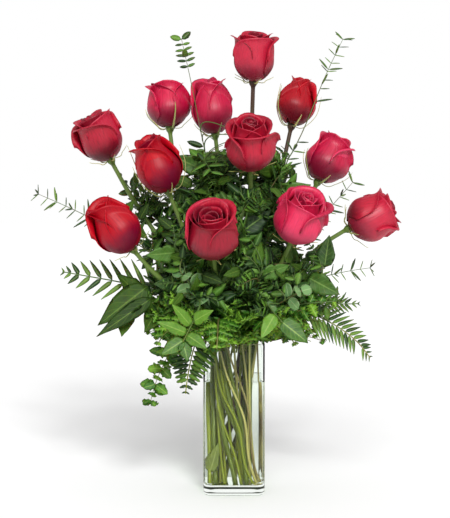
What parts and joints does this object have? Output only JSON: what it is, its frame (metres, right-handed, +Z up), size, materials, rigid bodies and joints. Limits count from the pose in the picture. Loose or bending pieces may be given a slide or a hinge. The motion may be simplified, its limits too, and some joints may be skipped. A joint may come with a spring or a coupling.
{
  "type": "vase of cut roses",
  "caption": "Loose round arrangement of long-stemmed red roses with fern, leafy and small-leaved greenery, standing in a square clear glass vase of water",
  "frame": {"origin": "centre of the vase's underside, on the surface that it stands on", "axes": "+Z is up, the side seen in the picture faces -Y, and +X is to the right as seen from the front"},
  "size_m": [0.4771, 0.3071, 0.601],
  "materials": {
    "petals": "velvety petals, deep red to crimson",
    "rose_stem": "green, lightly waxy, soft wood and pith",
    "myrtle_leaf": "glossy small leaves on a thin twig",
    "salal_leaf": "satin leathery leaves with pale veins",
    "dollar_leaf": "matt grey-green round leaves with pale rims",
    "fern_leaf": "satin bright green frond",
    "sword_leaf": "satin mid green frond",
    "glass": "clear polished pressed glass",
    "water": null
  },
  "bodies": {
    "root": {"rose_01_head": "petals", "rose_02_head": "petals", "rose_03_head": "petals", "rose_04_head": "petals", "rose_05_head": "petals", "rose_06_head": "petals", "rose_07_head": "petals", "rose_08_head": "petals", "rose_09_head": "petals", "rose_10_head": "petals", "rose_11_head": "petals", "rose_12_head": "petals", "rose_01_stem": "rose_stem", "rose_02_stem": "rose_stem", "rose_03_stem": "rose_stem", "rose_04_stem": "rose_stem", "rose_05_stem": "rose_stem", "rose_06_stem": "rose_stem", "rose_07_stem": "rose_stem", "rose_08_stem": "rose_stem", "rose_09_stem": "rose_stem", "rose_10_stem": "rose_stem", "rose_11_stem": "rose_stem", "rose_12_stem": "rose_stem", "sword_01": "sword_leaf", "sword_02": "sword_leaf", "sword_03": "sword_leaf", "fern_01": "fern_leaf", "fern_02": "fern_leaf", "fern_03": "fern_leaf", "fern_04": "fern_leaf", "fern_05": "fern_leaf", "fern_06": "fern_leaf", "fern_07": "fern_leaf", "salal_01": "salal_leaf", "salal_02": "salal_leaf", "salal_03": "salal_leaf", "salal_04": "salal_leaf", "salal_05": "salal_leaf", "salal_06": "salal_leaf", "salal_07": "salal_leaf", "salal_08": "salal_leaf", "salal_09": "salal_leaf", "dollar_01": "dollar_leaf", "dollar_02": "dollar_leaf", "dollar_03": "dollar_leaf", "dollar_04": "dollar_leaf", "myrtle_01": "myrtle_leaf", "myrtle_02": "myrtle_leaf", "myrtle_03": "myrtle_leaf", "myrtle_04": "myrtle_leaf", "myrtle_05": "myrtle_leaf", "myrtle_06": "myrtle_leaf", "myrtle_07": "myrtle_leaf", "myrtle_08": "myrtle_leaf", "vase": "glass", "water": "water"}
  },
  "joints": []
}
